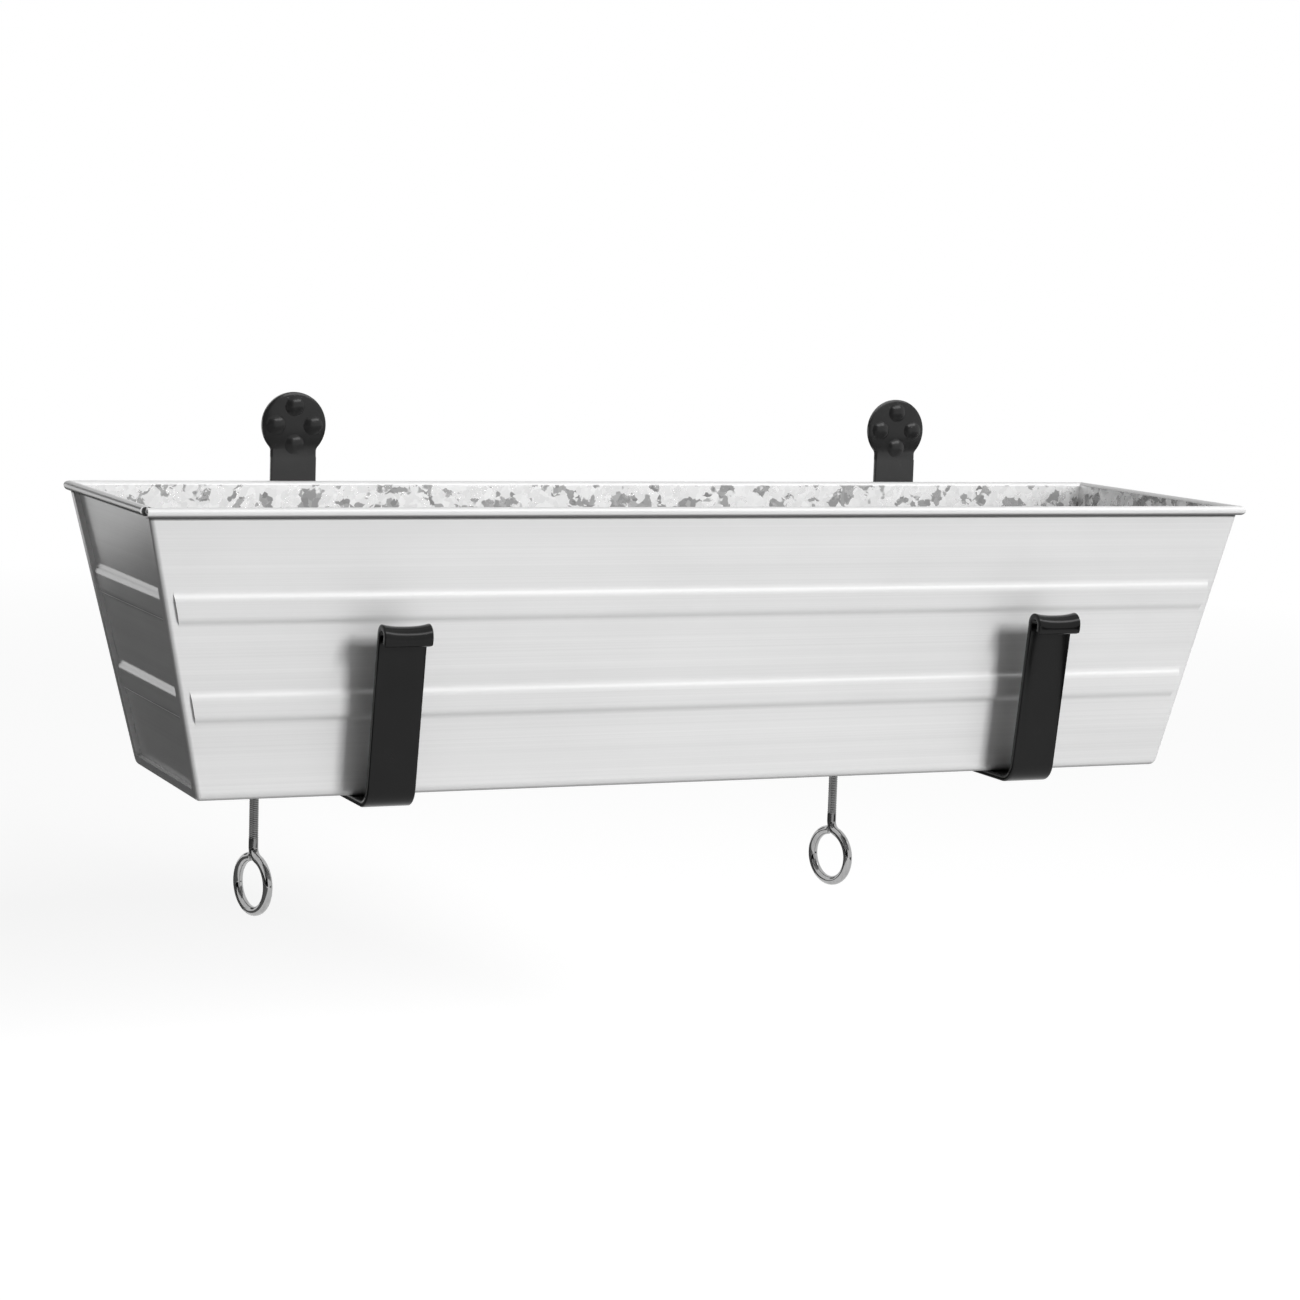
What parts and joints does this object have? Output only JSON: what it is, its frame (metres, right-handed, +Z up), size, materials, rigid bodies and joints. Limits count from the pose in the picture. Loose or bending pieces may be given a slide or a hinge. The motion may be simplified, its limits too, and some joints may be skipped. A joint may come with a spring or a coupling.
{
  "type": "window box planter",
  "caption": "Tapered ribbed galvanized steel window box in a pair of black cradle brackets that clamp onto a rail with eye screws.",
  "frame": {"origin": "the rail seat: on the plane of the upper jaws' undersides (the rail's top) and the spines' back faces (the rail's outer edge), midway between the two clamps", "axes": "+X along the box to its right as seen from the front, +Y back towards the rail, +Z up"},
  "size_m": [0.7366, 0.33, 0.3576],
  "materials": {
    "galvanized": "galvanized sheet, satin, faint spangle",
    "wire": "drawn steel wire",
    "black_coat": "black satin powder coat on flat bar",
    "zinc": "bright zinc plate"
  },
  "bodies": {
    "left_bracket": {"left_cradle_strap": "black_coat", "left_clamp_yoke": "black_coat", "left_yoke_welds": "black_coat", "left_jaw_nut": "black_coat"},
    "right_bracket": {"right_cradle_strap": "black_coat", "right_clamp_yoke": "black_coat", "right_yoke_welds": "black_coat", "right_jaw_nut": "black_coat"},
    "planter": {"planter_body": "galvanized", "end_panel_left": "galvanized", "end_panel_right": "galvanized", "rim_wire": "wire"},
    "left_shoe": {"left_swivel_shoe": "zinc"},
    "left_screw": {"left_eye_screw": "zinc"},
    "right_shoe": {"right_swivel_shoe": "zinc"},
    "right_screw": {"right_eye_screw": "zinc"}
  },
  "joints": [
    {"name": "planter_lift", "type": "slide", "parent": "left_bracket", "child": "planter", "axis": [0, 0, 1], "range_m": [0, 0.24]},
    {"name": "bracket_spacing", "type": "slide", "parent": "left_bracket", "child": "right_bracket", "axis": [1, 0, 0], "range_m": [-0.3, 0.09]},
    {"name": "left_jaw_travel", "type": "slide", "parent": "left_bracket", "child": "left_shoe", "axis": [0, 0, 1], "range_m": [-0.028, 0.073]},
    {"name": "left_screw_turn", "type": "hinge", "parent": "left_shoe", "child": "left_screw", "pos_m": [-0.218, 0.0668, -0.2], "axis": [0, 0, 1], "range_deg": [-7936, 20692]},
    {"name": "right_jaw_travel", "type": "slide", "parent": "right_bracket", "child": "right_shoe", "axis": [0, 0, 1], "range_m": [-0.028, 0.073]},
    {"name": "right_screw_turn", "type": "hinge", "parent": "right_shoe", "child": "right_screw", "pos_m": [0.218, 0.0668, -0.2], "axis": [0, 0, 1], "range_deg": [-7936, 20692]}
  ],
  "couplings": [
    {"joint": "left_jaw_travel", "follows": "left_screw_turn", "m_per_rad": 0.00020213},
    {"joint": "right_jaw_travel", "follows": "right_screw_turn", "m_per_rad": 0.00020213}
  ]
}
